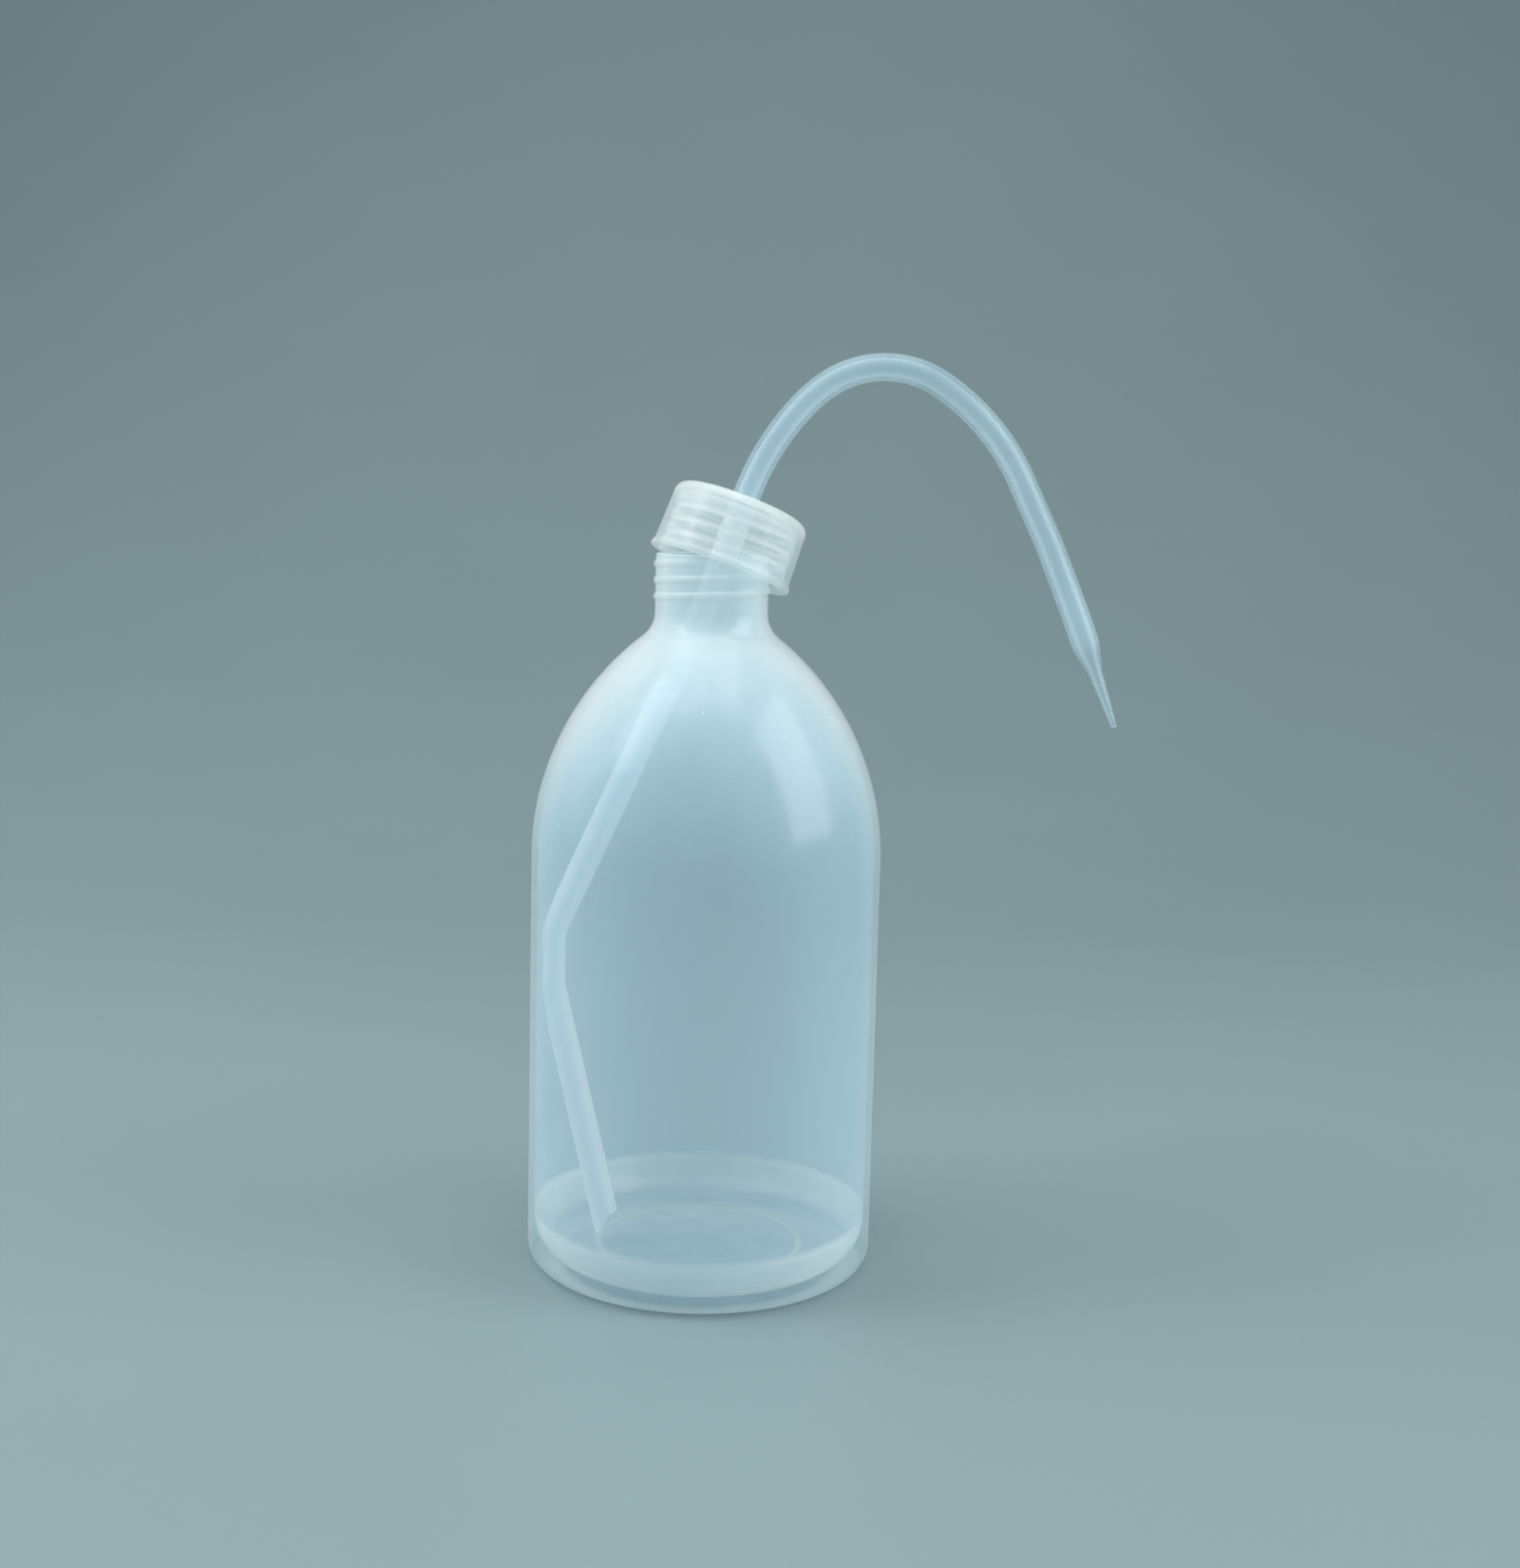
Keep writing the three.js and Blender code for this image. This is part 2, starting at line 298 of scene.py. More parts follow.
def new_piece(name, points, faces, milk=None, sharp=40):
    """A smooth-shaded mesh object whose edges stay sharp past an angle in degrees.

    milk is the optical depth of the plastic at each point.
    """
    mesh = bpy.data.meshes.new(name)
    mesh.from_pydata(np.asarray(points, float).tolist(), [], faces)
    if milk is not None:
        mesh.attributes.new("milk", "FLOAT", "POINT").data.foreach_set("value", milk)
    mesh.shade_smooth()
    mesh.set_sharp_from_angle(angle=math.radians(sharp))
    piece = bpy.data.objects.new(name, mesh)
    bpy.context.scene.collection.objects.link(piece)
    return piece


def turned(profile, around, shape):
    """Points, faces and milkiness of a half section turned about Z.

    shape(angle, radius, z, row) gives what is added to the radius, and how milky the skin is.
    A profile that starts and ends on the axis is closed there by one point. Any other is a
    closed ring.
    """
    angles = np.linspace(0, 2 * np.pi, around, endpoint=False)
    on_axis = profile[0][0] == 0
    rows = profile[1:-1] if on_axis else profile
    radius = np.repeat(rows[:, :1], around, axis=1)
    height = np.repeat(rows[:, 1:], around, axis=1)
    added, milk = shape(angles[None, :], radius, height, np.arange(len(rows))[:, None])
    radius = radius + added
    points = np.stack((radius * np.cos(angles), radius * np.sin(angles), height), axis=-1)
    points = points.reshape(-1, 3)
    milk = np.broadcast_to(milk, radius.shape).ravel()
    faces = ring_faces(len(rows), around, closed=not on_axis)
    if on_axis:
        first, last = len(points), len(points) + 1
        points = np.vstack((points, [0, 0, profile[0][1]], [0, 0, profile[-1][1]]))
        milk = np.append(milk, (milk[0], milk[-1]))
        end_row = (len(rows) - 1) * around
        for i in range(around):
            j = (i + 1) % around
            faces.append([first, j, i])
            faces.append([last, end_row + i, end_row + j])
    return points, faces, milk


def helical_ridge(angle, z, start, turns, pitch):
    """Height of a right-hand thread above its wall, fading in and out at its two ends."""
    end_turns = 0.12
    crest_share = 0.25
    turn = angle / (2 * np.pi)
    nearest = np.round((z - start) / pitch - turn) + turn
    off = np.abs(z - start - pitch * nearest) / THREAD_HALF_WIDTH
    fade = smooth(0, end_turns, nearest) * smooth(0, end_turns, turns - nearest)
    return THREAD_DEPTH * fade * (1 - smooth(crest_share, 1, off))


# ------------------------------------------------------------------ material helpers


class Shading:
    """A material under construction, with short names for its nodes."""

    def __init__(self, name):
        self.material = bpy.data.materials.new(name)
        self.material.use_nodes = True
        self.tree = self.material.node_tree
        self.tree.nodes.clear()
        self.place = self.add("ShaderNodeTexCoord").outputs["Object"]

    def add(self, kind, inputs=None, **settings):
        """A node of a kind. inputs maps its sockets to numbers or to other nodes' outputs."""
        node = self.tree.nodes.new(kind)
        for key, value in settings.items():
            setattr(node, key, value)
        for key, value in (inputs or {}).items():
            if isinstance(value, bpy.types.NodeSocket):
                self.tree.links.new(value, node.inputs[key])
            else:
                node.inputs[key].default_value = value
        return node

    def calc(self, operation, a, b, clamp=False):
        """One sum on two values."""
        node = self.add(
            "ShaderNodeMath", {0: a, 1: b}, operation=operation, use_clamp=clamp
        )
        return node.outputs[0]

    def noise(self, scale, detail=3.0, stretch=(1, 1, 1)):
        """Clouds between 0 and 1. A stretch below 1 draws them out along that axis."""
        where = self.add("ShaderNodeMapping", {"Vector": self.place, "Scale": stretch})
        node = self.add(
            "ShaderNodeTexNoise",
            {"Vector": where.outputs[0], "Scale": scale, "Detail": detail},
        )
        return node.outputs["Fac"]

    def spread(self, value, low, high, to_low=0.0, to_high=1.0):
        """An S-shaped rise from to_low to to_high as the value goes from low to high."""
        node = self.add(
            "ShaderNodeMapRange",
            {0: value, 1: low, 2: high, 3: to_low, 4: to_high},
            interpolation_type="SMOOTHSTEP",
        )
        return node.outputs[0]

    def mix_colour(self, factor, a, b):
        """Colour a at 0 and b at 1."""
        node = self.add("ShaderNodeMix", data_type="RGBA")
        for socket, value in ((0, factor), (6, a), (7, b)):
            if isinstance(value, bpy.types.NodeSocket):
                self.tree.links.new(value, node.inputs[socket])
            else:
                node.inputs[socket].default_value = value
        return node.outputs[2]

    def mix(self, factor, a, b):
        """Shader a at 0 and b at 1."""
        node = self.add("ShaderNodeMixShader", {0: factor, 1: a, 2: b})
        return node.outputs[0]

    def finish(self, surface):
        """Puts the shader on the surface and returns the material."""
        self.add("ShaderNodeOutputMaterial", {"Surface": surface})
        return self.material


def milky_plastic(
    name,
    tint,
    pale,
    thickest,
    roughness=0.15,
    speck_glints=0.0,
    streakiness=0.02,
    forward=0.5,
    specks_above=0.0,
):
    """Thin, milky fluoropolymer: clear where a wall is seen square on, whiter towards its edges.

    The mesh's milk attribute gives the optical depth of each skin of the wall, square on.

    tint, pale      colour of a little milk, and of much
    thickest        how many times deeper a skin is where the eye skims along it
    roughness       of the gloss
    speck_glints    share of the sites that hold a bright speck, a painted glint of a small flaw, above the height specks_above
    streakiness     strength of the upright streaks
    forward         share of the milk's light that goes on through
    """
    s = Shading(name)
    clouds = s.noise(38, detail=4, stretch=(1, 1, 0.5))
    streaks = s.noise(160, detail=3, stretch=(1, 1, 0.09))
    depth = s.add("ShaderNodeAttribute", attribute_name="milk").outputs["Fac"]
    depth = s.calc("MULTIPLY", depth, s.spread(clouds, 0.3, 0.7, 0.86, 1.14))
    depth = s.calc("MULTIPLY", depth, s.spread(streaks, 0.3, 0.7, 1 - streakiness, 1 + streakiness))

    # A slanting line of sight runs through more of the wall.
    facing = s.add("ShaderNodeLayerWeight", {"Blend": 0.5}).outputs["Facing"]
    least = 1 / (thickest - 1)
    depth = s.calc("MULTIPLY", depth, 1 + least)
    depth = s.calc("DIVIDE", depth, s.calc("SUBTRACT", 1 + least, facing))
    let_through = s.calc("POWER", math.exp(-1), depth)
    level = s.calc("SUBTRACT", 1.0, let_through, clamp=True)
    # Painted glints: a few sites above a given height turn fully milky as bright specks, standing
    # in for the glints off small flaws in the plastic.
    if speck_glints:
        cells = s.add("ShaderNodeTexVoronoi", {"Vector": s.place, "Scale": 480.0})
        picked = s.add("ShaderNodeSeparateColor", {0: cells.outputs["Color"]}).outputs[0]
        picked = s.calc("MULTIPLY", picked, s.spread(s.noise(30), 0.42, 0.58))
        height = s.add("ShaderNodeSeparateXYZ", {0: s.place}).outputs["Z"]
        picked = s.calc("MULTIPLY", picked, s.spread(height, specks_above, specks_above + 5 * MM))
        spot = s.calc("LESS_THAN", cells.outputs["Distance"], 0.11)
        chosen = s.calc("GREATER_THAN", picked, 1 - speck_glints)
        level = s.calc("ADD", level, s.calc("MULTIPLY", spot, chosen), clamp=True)

    # Paler where the milk is deeper, and so also at the rims: partly the whiter scatter of deep
    # milk, partly painted sheen along the rims.
    milk_and_rim_sheen_colour = s.mix_colour(s.spread(level, 0.12, 0.75), (*tint, 1), (*pale, 1))
    bump = s.add(
        "ShaderNodeBump",
        {"Strength": 0.03, "Distance": 0.0005, "Height": s.noise(70, 2, (1, 1, 0.4))},
    ).outputs[0]
    rough = s.spread(s.noise(90, 5), 0.3, 0.75, roughness * 0.8, roughness * 1.3)
    milk = s.add(
        "ShaderNodeBsdfPrincipled",
        {"Base Color": milk_and_rim_sheen_colour, "Roughness": rough, "IOR": 1.34, "Normal": bump},
    ).outputs[0]
    glow = s.add("ShaderNodeBsdfTranslucent", {"Color": milk_and_rim_sheen_colour}).outputs[0]
    clear = s.add("ShaderNodeBsdfTransparent", {"Color": (1, 1, 1, 1)}).outputs[0]
    gloss = s.add(
        "ShaderNodeBsdfGlossy",
        {"Color": (1, 1, 1, 1), "Roughness": rough, "Normal": bump},
    ).outputs[0]
    wall = s.mix(level, clear, s.mix(forward, milk, glow))

    # Gloss by the angle of view: 0.022 square on is that of a plastic with an index of 1.34.
    mirrored = s.calc("MULTIPLY", s.calc("POWER", facing, 5.0), 0.6)
    mirrored = s.calc("ADD", mirrored, 0.022, clamp=True)
    return s.finish(s.mix(mirrored, wall, gloss))


# ------------------------------------------------------------------ the bottle


def shoulder_places(b):
    """Centres of the shoulder's arc and the neck's fillet, and the angle where they meet."""
    arc_x = b.radius - b.shoulder_arc
    fillet_x = b.neck_radius + b.neck_fillet
    rise = math.sqrt((b.shoulder_arc + b.neck_fillet) ** 2 - (fillet_x - arc_x) ** 2)
    meet = math.degrees(math.atan2(rise, fillet_x - arc_x))
    return arc_x, fillet_x, b.shoulder_start + rise, meet


def bottle_side(b, depth, heel, heel_low):
    """Half section from the heel to the neck at a depth below the outer surface."""
    arc_x, fillet_x, fillet_z, meet = shoulder_places(b)
    side = b.radius - depth
    heel_top = heel_low + heel
    return np.vstack(
        (
            arc(side - heel, heel_top, heel, -90, 0, 14),
            line((side, heel_top), (side, b.shoulder_start), 44),
            arc(arc_x, b.shoulder_start, b.shoulder_arc - depth, 0, meet, 48)[1:],
            arc(fillet_x, fillet_z, b.neck_fillet + depth, meet + 180, 180, 14)[1:],
        )
    )


def underside(b):
    """Half section of the base from the middle of its crown out to the standing ring."""
    middle = (0, b.push_up + CROWN_RISE)
    bend = (b.push_up_radius - CROWN_BEND_IN, b.push_up + CROWN_BEND_RISE)
    step = STEP_ROUNDING
    ring = (b.ring_inner - 2 * step, step / 2)
    return np.vstack(
        (
            middle,
            line(middle, bend, 8),
            line(bend, (b.push_up_radius - step, b.push_up), 3),
            arc(b.push_up_radius - step, b.push_up - step, step, 90, 25, 4),
            line((b.push_up_radius + step, b.push_up - 2.2 * step), ring, 6),
            line(ring, (b.ring_inner, 0), 2),
        )
    )


def inside_floor(b):
    """Half section of the floor from the inside heel in to the middle."""
    top = b.push_up + b.floor
    step_foot = (b.push_up_radius, top - FLOOR_STEP_DROP)
    step_top = (b.push_up_radius - FLOOR_STEP_IN, top)
    return np.vstack(
        (
            line((b.radius - b.wall - b.inner_heel, b.floor), step_foot, 5),
            line(step_foot, step_top, 3),
            line(step_top, (0, top + FLOOR_CROWN_RISE), 10),
        )
    )


def bottle_profile(b):
    """The whole half section, from the middle of the base's underside to the middle of its floor.

    Also returns the row where the outside ends and the inside begins.
    """
    lip = LIP_ROUNDING
    mouth = b.neck_radius - b.wall
    neck_low = shoulder_places(b)[2]
    outside = np.vstack(
        (
            underside(b),
            bottle_side(b, 0, b.heel, 0),
            line((b.neck_radius, neck_low), (b.neck_radius, b.height - lip), 72),
            arc(b.neck_radius - lip, b.height - lip, lip, 0, 90, 5)[1:],
        )
    )
    inside = np.vstack(
        (
            arc(mouth + lip, b.height - lip, lip, 90, 180, 5),
            line((mouth, b.height - lip), (mouth, neck_low), 20)[:-1],
            bottle_side(b, b.wall, b.inner_heel, b.floor)[::-1],
            inside_floor(b),
        )
    )
    return np.vstack((outside, inside)), len(outside) - 1


def uneven(angle, z, seed, amount):
    """A slow wander of a blown wall, between -amount and 0."""
    usual_peak = 2.6
    random = np.random.default_rng(seed)
    total = 0
    for lobes in (2, 3, 4, 5, 7):
        wave = random.uniform(70, 190)
        phase, lean = random.uniform(0, 2 * np.pi, 2)
        total = total + np.sin(lobes * angle + phase + wave * z) * np.cos(wave * z * 0.6 + lean)
    return amount * (np.clip(total / usual_peak, -1, 1) - 1) / 2


def bottle_milk(b, radius, z, outer):
    """Optical depth of the bottle's skins: thin side, thicker neck and thick, pale heel. The heel's
    extra milk is partly its thickness and partly painted glow, with a painted bright line along its
    top.
    """
    neck_low = shoulder_places(b)[2]
    heel_top = b.floor + b.inner_heel
    # Heel band on the inner skin: partly thicker plastic, partly painted glow of light refracted
    # through the thick corner.
    heel = smooth(2.5 * MM, 6 * MM, z) * (radius > b.ring_inner)
    heel = heel * (1 - smooth(heel_top - 1 * MM, heel_top, z)) * ~outer
    # A painted highlight: a thin bright line of milk along the top of the inner heel.
    heel_glint_line = np.exp(-(((z - heel_top) / (0.4 * MM)) ** 2)) * ~outer
    step = np.exp(-(((radius - b.push_up_radius) / (0.5 * MM)) ** 2)) * (z < 6 * MM)
    foot = np.exp(-((z / (0.8 * MM)) ** 2)) * outer * (radius > b.ring_inner)
    base = (1 - smooth(4 * MM, 7 * MM, z)) * (radius < b.ring_inner + 3 * MM)
    up = smooth(b.shoulder_start - 10 * MM, neck_low, z)
    milk = b.haze + (b.neck_haze - b.haze) * up**1.1
    return milk + b.heel_haze_and_glow * (heel + 1.4 * heel_glint_line + foot + 0.4 * step + 0.2 * base)


class WASH_OT_bottle(bpy.types.Operator):
    """Blow the bottle: base, side, shoulder, threaded neck and a real inside wall"""

    bl_idname = "wash.bottle"
    bl_label = "Bottle"
    bl_options = {"REGISTER", "UNDO"}

    def execute(self, context):
        b = context.scene.wash_bottle
        profile, inner_row = bottle_profile(b)
        seed = context.scene.wash_stage.seed
        neck_low = shoulder_places(b)[2]
        neck_blend = 18 * MM
        thread_milk = 0.15

        def shape(angle, radius, z, row):
            outer = row < inner_row
            on_side = smooth(7 * MM, 20 * MM, z) * (1 - smooth(neck_low - neck_blend, neck_low, z))
            wander = uneven(angle, z, seed, b.unevenness) * outer
            wander = wander + uneven(angle, z, seed + 1, b.unevenness) * ~outer
            thread = helical_ridge(angle, z, **NECK_THREAD)
            thread = thread * (outer & (z > neck_low - 1 * MM))
            milk = bottle_milk(b, radius, z, outer)
            return wander * on_side + thread, milk + thread_milk * thread / THREAD_DEPTH

        points, faces, milk = turned(profile, 200, shape)
        piece = new_piece("bottle_shell", points + np.array(BOTTLE_AXIS), faces, milk)
        material = milky_plastic(
            "milky blown plastic",
            tuple(b.tint),
            tuple(b.pale),
            thickest=12,
            roughness=0.19,
            # Painted glint specks on the shoulder.
            speck_glints=0.2,
            streakiness=0.05,
            specks_above=b.shoulder_start - 4 * MM,
        )
        piece.data.materials.append(material)
        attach(piece, "bottle")
        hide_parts("bottle")
        return {"FINISHED"}


# ------------------------------------------------------------------ the screw cap


def cap_profile(c):
    """The cap's closed half section, standing on its rim, and where its bore wall begins."""
    upper = c.radius - c.draft
    bead = c.radius + c.bead
    dish = c.height - TOP_DISH
    under = c.height - c.top
    chamfer, chamfer_height = HOLE_CHAMFER
    outside = np.vstack(
        (
            arc(bead - RIM_ROUNDING, RIM_ROUNDING, RIM_ROUNDING, -90, 0, 5),
            line((bead, RIM_ROUNDING), (bead, BEAD_TOP - BEAD_SLOPE), 3),
            line((bead, BEAD_TOP - BEAD_SLOPE), (c.radius, BEAD_TOP), 4),
            line((c.radius, BEAD_TOP), (upper, c.height - c.edge), 12),
            arc(upper - c.edge, c.height - c.edge, c.edge, 0, 86, 12)[1:],
            line((upper - c.edge, c.height - 0.02 * MM), (c.hole + HOLE_EDGE, dish), 8),
            arc(c.hole + HOLE_EDGE, dish - HOLE_EDGE, HOLE_EDGE, 90, 180, 5)[1:],
        )
    )
    inside = np.vstack(
        (
            line((c.hole, c.height - 0.8 * MM), (c.hole, under + chamfer_height), 4),
            line((c.hole, under + chamfer_height), (c.hole + chamfer, under), 2),
            line((c.hole + chamfer, under), (c.bore - INNER_ROUNDING, under), 8),
            arc(c.bore - INNER_ROUNDING, under - INNER_ROUNDING, INNER_ROUNDING, 90, 0, 6)[1:],
        )
    )
    bore = np.vstack(
        (
            line((c.bore, under - INNER_ROUNDING), (c.bore, 0.6 * MM), 84),
            arc(c.bore + RIM_ROUNDING, RIM_ROUNDING, RIM_ROUNDING, 180, 270, 4)[1:],
        )
    )
    return np.vstack((outside, inside, bore)), len(outside) + len(inside)


class WASH_OT_cap(bpy.types.Operator):
    """Mould the screw cap, with its beaded rim, its inside thread and the hole for the tube"""

    bl_idname = "wash.cap"
    bl_label = "Screw cap"
    bl_options = {"REGISTER", "UNDO"}

    def execute(self, context):
        c = context.scene.wash_cap
        profile, bore_row = cap_profile(c)
        under = c.height - c.top
        # The thread ridges are made much milkier than the rest of the cap: partly their thicker
        # plastic, partly a painted glint along each ridge.
        thread_milk = 0.9

        def shape(angle, radius, z, row):
            ridge = helical_ridge(angle, z, **CAP_THREAD)
            ridge = ridge * ((row >= bore_row) & (z > 1.2 * MM))
            crown = smooth(under - 1 * MM, under, z)
            rim = 1 - smooth(1 * MM, 2.5 * MM, z)
            milk = c.haze * (1 + 0.8 * crown + 0.5 * rim)
            return -ridge, milk + thread_milk * (ridge / THREAD_DEPTH) ** 3

        points, faces, milk = turned(profile, 192, shape)
        upright = CAP_AXIS.to_track_quat("Z", "Y").to_matrix()
        points = points @ np.array(upright).T + np.array(CAP_RIM)
        piece = new_piece("cap_shell", points, [face[::-1] for face in faces], milk)
        material = milky_plastic(
            "milky moulded plastic",
            tuple(c.tint),
            tuple(c.pale),
            thickest=4,
            roughness=0.2,
        )
        piece.data.materials.append(material)
        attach(piece, "cap")
        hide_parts("screw_cap")
        return {"FINISHED"}


# ------------------------------------------------------------------ the delivery tube

# The spout's bends from the cap outwards: radius of the bend in metres, and its turn in degrees.
SPOUT_BENDS = ((58 * MM, 22), (35 * MM, 11.5), (21.5 * MM, 70.5), (48 * MM, 30.8), (300 * MM, 6))

# The dip leg's corners from the cap down, from the bottle's axis, with the radius of each bend.
DIP_CORNERS = (
    (Vector((-1.4, -0.7, 143.5)) * MM, 60 * MM),
    (Vector((-32.8, -3.3, 73.0)) * MM, 12 * MM),
    (Vector((-32.7, -3.6, 61.5)) * MM, 12 * MM),
)
DIP_END = Vector((-20.4, -3.6, 9.3)) * MM
KINK_HEIGHT = 67 * MM
KINK_REACH = 9 * MM
DIP_LEG_TOP = 100 * MM
STATION_SPACING = 1.6 * MM
TUBE_SIDES = 72


def bend_stations(point, heading, towards, radius, turn, step=3.0):
    """(point, heading) pairs round a bend towards a side, with turn and step in degrees."""
    centre = point + towards * radius
    count = max(2, math.ceil(turn / step))
    stations = []
    for i in range(count + 1):
        angle = math.radians(turn * i / count)
        place = centre - towards * radius * math.cos(angle) + heading * radius * math.sin(angle)
        stations.append((place, heading * math.cos(angle) + towards * math.sin(angle)))
    return stations


def spout_stations(t):
    """From the cap along its axis, round the arch and down to the tip of the nozzle."""
    aside = Vector((1, 0, 0))
    bend_axis = CAP_AXIS.cross(aside).normalized()
    point = CAP_RIM + CAP_AXIS * t.straight
    heading = CAP_AXIS.copy()
    stations = []
    for radius, turn in SPOUT_BENDS:
        stations += bend_stations(point, heading, bend_axis.cross(heading), radius, turn)
        point, heading = stations[-1]
    start = point + heading * t.last_run
    steps = 40
    stations += [(start + heading * (t.nozzle * i / steps), heading) for i in range(steps + 1)]
    return stations, start


def dip_stations():
    """From the cap down the dip leg, round its kink, to its slanting end."""
    stations = []
    heading = -CAP_AXIS
    for i, (corner, radius) in enumerate(DIP_CORNERS):
        after = DIP_CORNERS[i + 1][0] if i + 1 < len(DIP_CORNERS) else DIP_END
        out = (after - corner).normalized()
        turn = heading.angle(out)
        towards = (out - heading * math.cos(turn)).normalized()
        start = corner - heading * radius * math.tan(turn / 2) + BOTTLE_AXIS
        stations += bend_stations(start, heading, towards, radius, math.degrees(turn), 1.5)
        heading = out
    stations.append((DIP_END + BOTTLE_AXIS, heading))
    return stations


def fill_in(stations, longest):
    """Adds stations along the straight runs and drops those that coincide."""
    same_place = 1e-6
    filled = [stations[0]]
    for place, heading in stations[1:]:
        before = filled[-1][0]
        gap = (place - before).length
        if gap < same_place:
            continue
        count = max(1, math.ceil(gap / longest))
        for i in range(1, count):
            filled.append((before.lerp(place, i / count), filled[-1][1].lerp(heading, 1 / count)))
        filled.append((place, heading))
    return filled


def section_frames(stations):
    """Two directions across each station, carried along without twist."""
    across = Vector((0, 1, 0))
    frames = []
    for _, heading in stations:
        across = (across - heading * across.dot(heading)).normalized()
        frames.append((across, heading.normalized().cross(across)))
    return frames


def nozzle_width(along, t):
    """Width of the drawn nozzle over the tube's own, at a distance from where it starts."""
    if along < t.nozzle_shoulder:
        drawn = (1 - math.cos(math.pi * along / t.nozzle_shoulder)) / 2
        return 1 + (t.after_shoulder - 1) * drawn
    rest = (along - t.nozzle_shoulder) / (t.nozzle - t.nozzle_shoulder)
    return t.after_shoulder + (t.nozzle_tip - t.after_shoulder) * min(rest, 1)


def kink_share(place):
    """1 at the middle of the kink in the dip leg, falling to 0 away from it."""
    if place.z >= DIP_LEG_TOP:
        return 0
    return math.exp(-(((place.z - KINK_HEIGHT) / KINK_REACH) ** 2))


def tube_skins(t):
    """Points of the outer and the bore skin, ring by ring from the dip end, and their milk."""
    spout, nozzle_start = spout_stations(t)
    dip = [(place, -heading) for place, heading in reversed(dip_stations())]
    stations = fill_in(dip + spout, STATION_SPACING)
    angles = np.linspace(0, 2 * np.pi, TUBE_SIDES, endpoint=False)
    tip_heading = stations[-1][1]
    cut = Matrix.Rotation(-t.bevel, 3, Vector((0, 1, 0))) @ stations[0][1]
    skins = ([], [])
    milk = []
    for n, ((place, heading), (across, beside)) in enumerate(
        zip(stations, section_frames(stations))
    ):
        along = (place - nozzle_start).dot(tip_heading)
        in_nozzle = along > 0 and (place - nozzle_start).cross(tip_heading).length < MM
        width = nozzle_width(along, t) if in_nozzle else 1
        above_rim = (place - CAP_RIM).dot(CAP_AXIS)
        # Painted glow: the part of the tube inside the cap and the bottle is made milkier, so that
        # it looks lit by the light scattered in there.
        inside = (1 - smooth(11 * MM, 15 * MM, above_rim)) * (place.x < 10 * MM)
        clear_tip = 1 - 0.4 * smooth(0, 4 * MM, along) * in_nozzle
        milk += [(t.haze + (t.dip_glow_haze - t.haze) * inside) * clear_tip] * TUBE_SIDES

        # Pressed flat, a round tube grows broader by about half of what it loses.
        kink = kink_share(place)
        flat = 1 - t.flattening * kink
        broad = 1 + 0.6 * t.flattening * kink
        for skin, radius in zip(skins, (t.radius, t.bore)):
            for angle in angles:
                offset = across * math.cos(angle) * broad + beside * math.sin(angle) * flat
                offset = offset * (radius * width)
                offset += beside * (t.radius * (flat - 1))
                if n == 0:
                    offset -= heading * (offset.dot(cut) / heading.dot(cut))
                skin.append(place + offset)
    return skins[0], skins[1], milk


def tube_faces(rings):
    """Quads of both skins and of the two rings of wall that join them at the ends."""
    shift = rings * TUBE_SIDES
    last = shift - TUBE_SIDES
    outer = ring_faces(rings, TUBE_SIDES, closed=False)
    faces = outer + [[corner + shift for corner in face[::-1]] for face in outer]
    for i in range(TUBE_SIDES):
        j = (i + 1) % TUBE_SIDES
        faces.append([j, i, i + shift, j + shift])
        faces.append([last + i, last + j, last + j + shift, last + i + shift])
    return faces


class WASH_OT_tube(bpy.types.Operator):
    """Draw the delivery tube: bevelled dip end, kink, straight run, arch and fine nozzle"""

    bl_idname = "wash.tube"
    bl_label = "Delivery tube"
    bl_options = {"REGISTER", "UNDO"}

    def execute(self, context):
        t = context.scene.wash_tube
        outer, bore, milk = tube_skins(t)
        faces = tube_faces(len(outer) // TUBE_SIDES)
        piece = new_piece("tube_drawn", outer + bore, faces, milk + milk)
        material = milky_plastic(
            "milky drawn plastic",
            tuple(t.tint),
            tuple(t.pale),
            thickest=3.2,
            forward=0.2,
        )
        piece.data.materials.append(material)
        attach(piece, "tube")
        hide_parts("delivery_tube")
        return {"FINISHED"}


# ------------------------------------------------------------------ the stage


# Each lamp's name, place, size, power in watts and whether it shows in the gloss. The fills
# only brighten, so that the gloss holds the reflections of the softboxes alone.
LAMPS = (
    ("overhead softbox", (-0.05, 0.0, 1.0), (0.9, 0.7), 3.7, True),
    ("right softbox", (0.66, -0.19, 0.48), (0.5, 0.75), 3.8, True),
    ("left softbox", (-0.56, -0.18, 0.72), (0.3, 0.55), 1.6, True),
    ("left fill", (-0.72, 0.0, 0.5), (0.6, 0.6), 3.4, False),
    ("front fill", (0.1, -0.95, 0.6), (1.2, 0.7), 3.4, False),
)
LAMP_TARGET = Vector((BOTTLE_AXIS.x, 0, 0.1))
AIR_TINT = (0.85, 0.93, 1, 1)
AIR_STRENGTH = 0.45


def area_light(name, place, size, power, in_gloss):
    """A rectangular lamp turned towards the bottle."""
    data = bpy.data.lights.new(name, "AREA")
    data.shape = "RECTANGLE"
    data.size, data.size_y = size
    data.energy = power
    lamp = bpy.data.objects.new(name, data)
    lamp.location = place
    lamp.rotation_euler = (LAMP_TARGET - Vector(place)).to_track_quat("-Z", "Y").to_euler()
    lamp.visible_glossy = in_gloss
    bpy.context.scene.collection.objects.link(lamp)


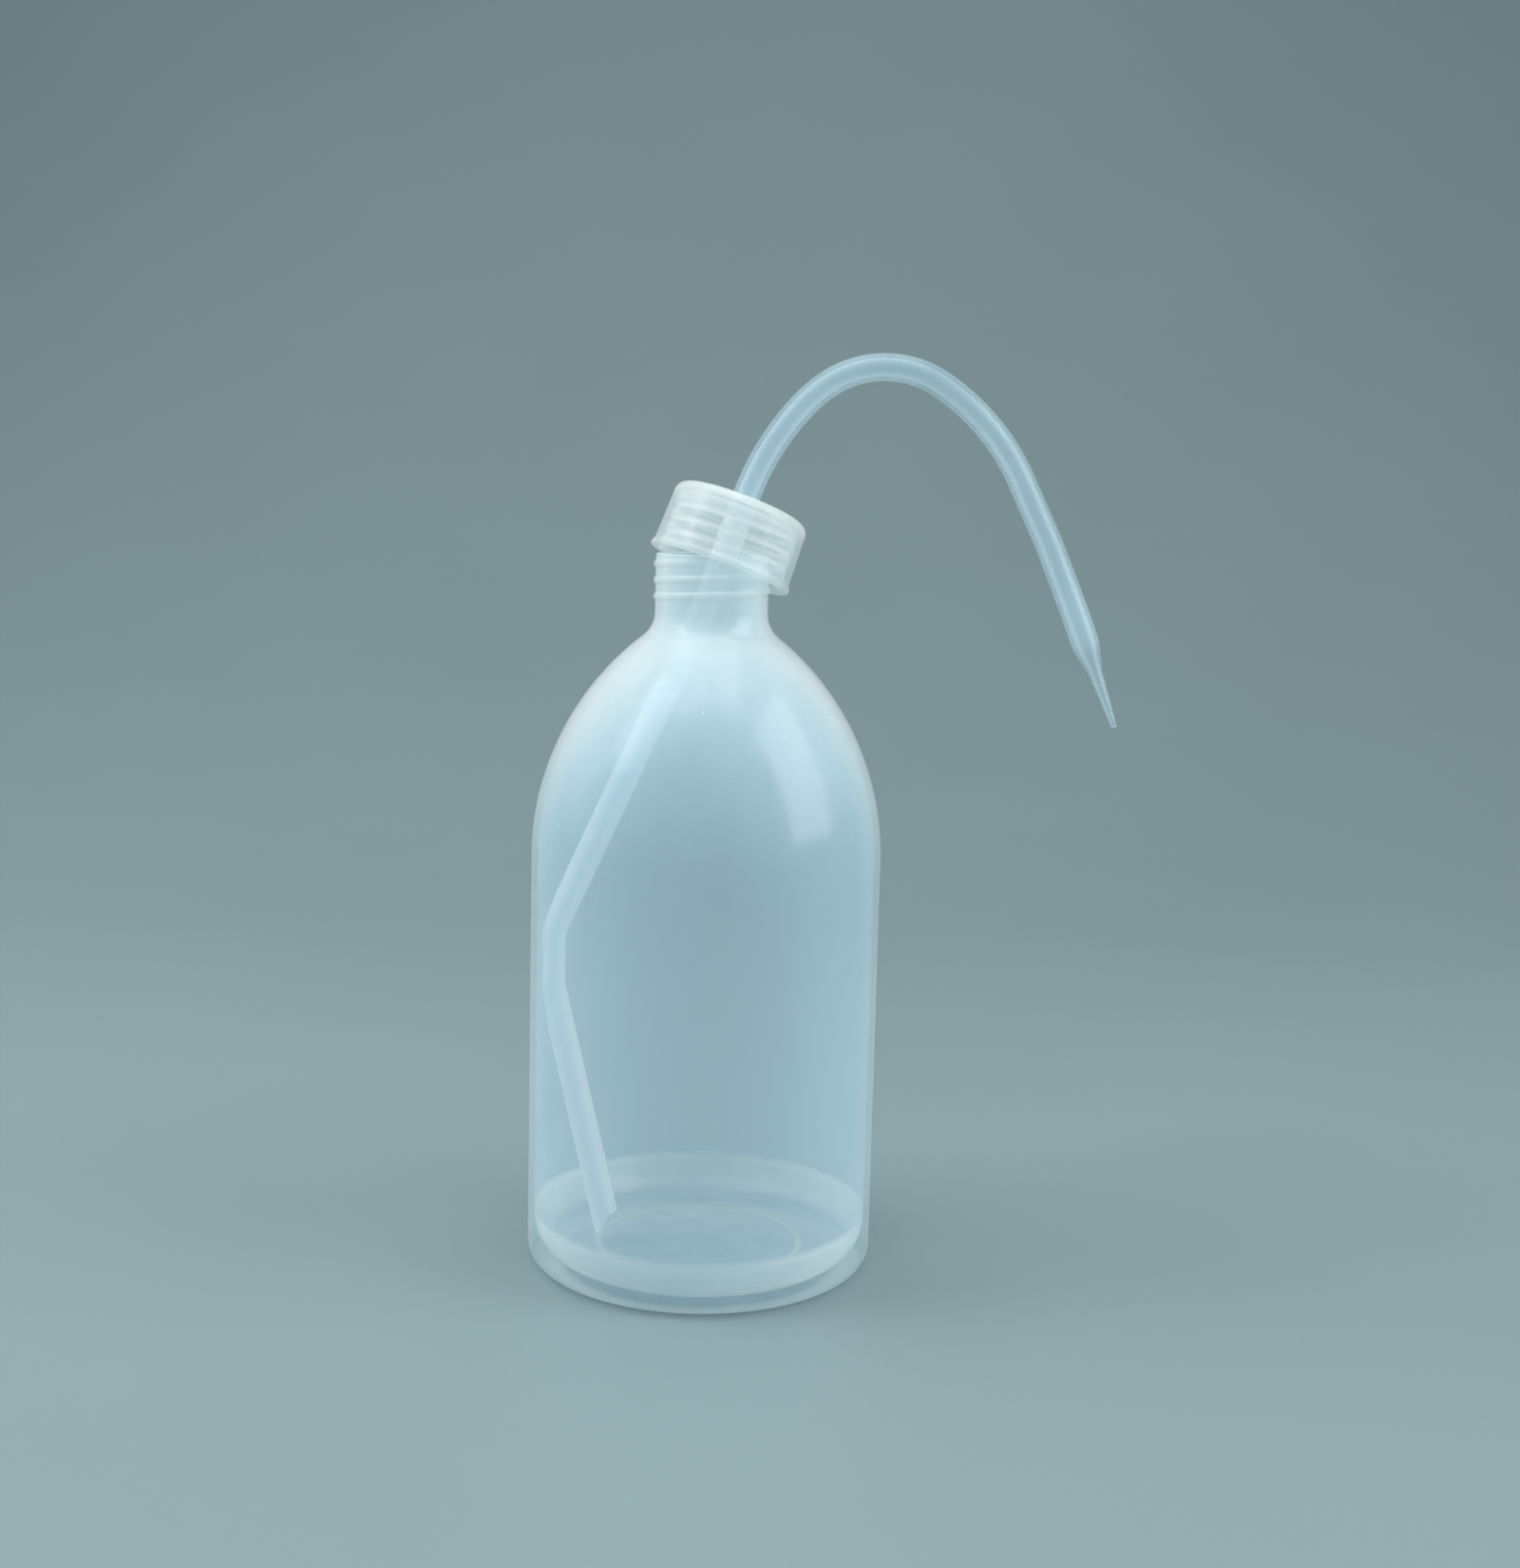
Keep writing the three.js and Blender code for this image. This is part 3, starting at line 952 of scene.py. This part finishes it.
def paper_sweep(stage):
    """A floor that turns up into a wall behind the bottle in one soft bend."""
    front, bend, top, half = -4.0, 0.8, 2.0, 4.0
    below_floor = 0.02 * MM
    depth = stage.sweep_depth
    section = np.vstack(
        (
            ((front, 0), (depth - bend, 0)),
            arc(depth - bend, bend, bend, -90, 0, 24)[1:],
            ((depth, top),),
        )
    )
    points = [(x, y, z - below_floor) for x in (-half, half) for y, z in section]
    n = len(section)
    faces = [[i, i + n, i + n + 1, i + 1] for i in range(n - 1)]
    sweep = new_piece("paper_sweep", points, faces)
    s = Shading("pale paper")
    deep = tuple(0.93 * c for c in stage.floor_tint)
    tone = s.mix_colour(s.noise(9, 4), (*stage.floor_tint, 1), (*deep, 1))
    bump = s.add(
        "ShaderNodeBump", {"Strength": 0.1, "Distance": 0.0004, "Height": s.noise(700, 4)}
    )
    paper = s.add(
        "ShaderNodeBsdfPrincipled",
        {"Base Color": tone, "Roughness": 0.5, "Normal": bump.outputs[0]},
    )
    sweep.data.materials.append(s.finish(paper.outputs[0]))


def studio_camera(stage):
    """The camera, level with the cap, a little to the spout's side and leaning slightly."""
    data = bpy.data.cameras.new("camera")
    data.sensor_fit = "HORIZONTAL"
    data.sensor_width = 36
    data.lens = stage.lens
    data.dof.use_dof = False
    camera = bpy.data.objects.new("camera", data)
    pitch, roll = stage.camera_pitch, stage.camera_roll
    right = Vector((1, 0, 0))
    up = Vector((0, math.sin(pitch), math.cos(pitch)))
    back = Vector((0, -math.cos(pitch), math.sin(pitch)))
    turned_right = right * math.cos(roll) + up * math.sin(roll)
    turned_up = up * math.cos(roll) - right * math.sin(roll)
    place = BOTTLE_AXIS + Vector(
        (stage.camera_aside, -stage.camera_distance, stage.camera_height)
    )
    turn = Matrix((turned_right, turned_up, back)).transposed().to_4x4()
    camera.matrix_world = Matrix.Translation(place) @ turn
    bpy.context.scene.collection.objects.link(camera)
    bpy.context.scene.camera = camera


class WASH_OT_stage(bpy.types.Operator):
    """Set the paper sweep, the soft lights and the camera"""

    bl_idname = "wash.stage"
    bl_label = "Stage"
    bl_options = {"REGISTER", "UNDO"}

    def execute(self, context):
        stage = context.scene.wash_stage
        paper_sweep(stage)
        studio_camera(stage)
        for lamp in LAMPS:
            area_light(*lamp)
        world = bpy.data.worlds.new("studio air")
        world.use_nodes = True
        air = world.node_tree.nodes["Background"]
        air.inputs["Color"].default_value = AIR_TINT
        air.inputs["Strength"].default_value = AIR_STRENGTH
        context.scene.world = world
        context.scene.cycles.transparent_max_bounces = 24
        context.scene.view_settings.view_transform = "Standard"
        return {"FINISHED"}


# ------------------------------------------------------------------ panel and registration


class WASH_PT_panel(bpy.types.Panel):
    """Settings of the wash bottle and the buttons that build it"""

    bl_idname = "WASH_PT_panel"
    bl_label = "Wash Bottle"
    bl_space_type = "VIEW_3D"
    bl_region_type = "UI"
    bl_category = "Wash Bottle"

    def draw(self, context):
        scene = context.scene
        for operator, settings in (
            ("wash.bottle", scene.wash_bottle),
            ("wash.cap", scene.wash_cap),
            ("wash.tube", scene.wash_tube),
            ("wash.stage", scene.wash_stage),
        ):
            box = self.layout.box()
            box.operator(operator)
            for name in settings.__annotations__:
                box.prop(settings, name)


SETTINGS = {
    "wash_bottle": BottleSettings,
    "wash_cap": CapSettings,
    "wash_tube": TubeSettings,
    "wash_stage": StageSettings,
}
CLASSES = (
    *SETTINGS.values(),
    WASH_OT_bottle,
    WASH_OT_cap,
    WASH_OT_tube,
    WASH_OT_stage,
    WASH_PT_panel,
)


def register():
    for cls in CLASSES:
        bpy.utils.register_class(cls)
    for name, group in SETTINGS.items():
        setattr(bpy.types.Scene, name, PointerProperty(type=group))


def unregister():
    for name in SETTINGS:
        delattr(bpy.types.Scene, name)
    for cls in reversed(CLASSES):
        bpy.utils.unregister_class(cls)


def main():
    """Builds everything."""
    register()
    bpy.ops.wash.bottle()
    bpy.ops.wash.cap()
    bpy.ops.wash.tube()
    bpy.ops.wash.stage()


if __name__ == "__main__":
    main()
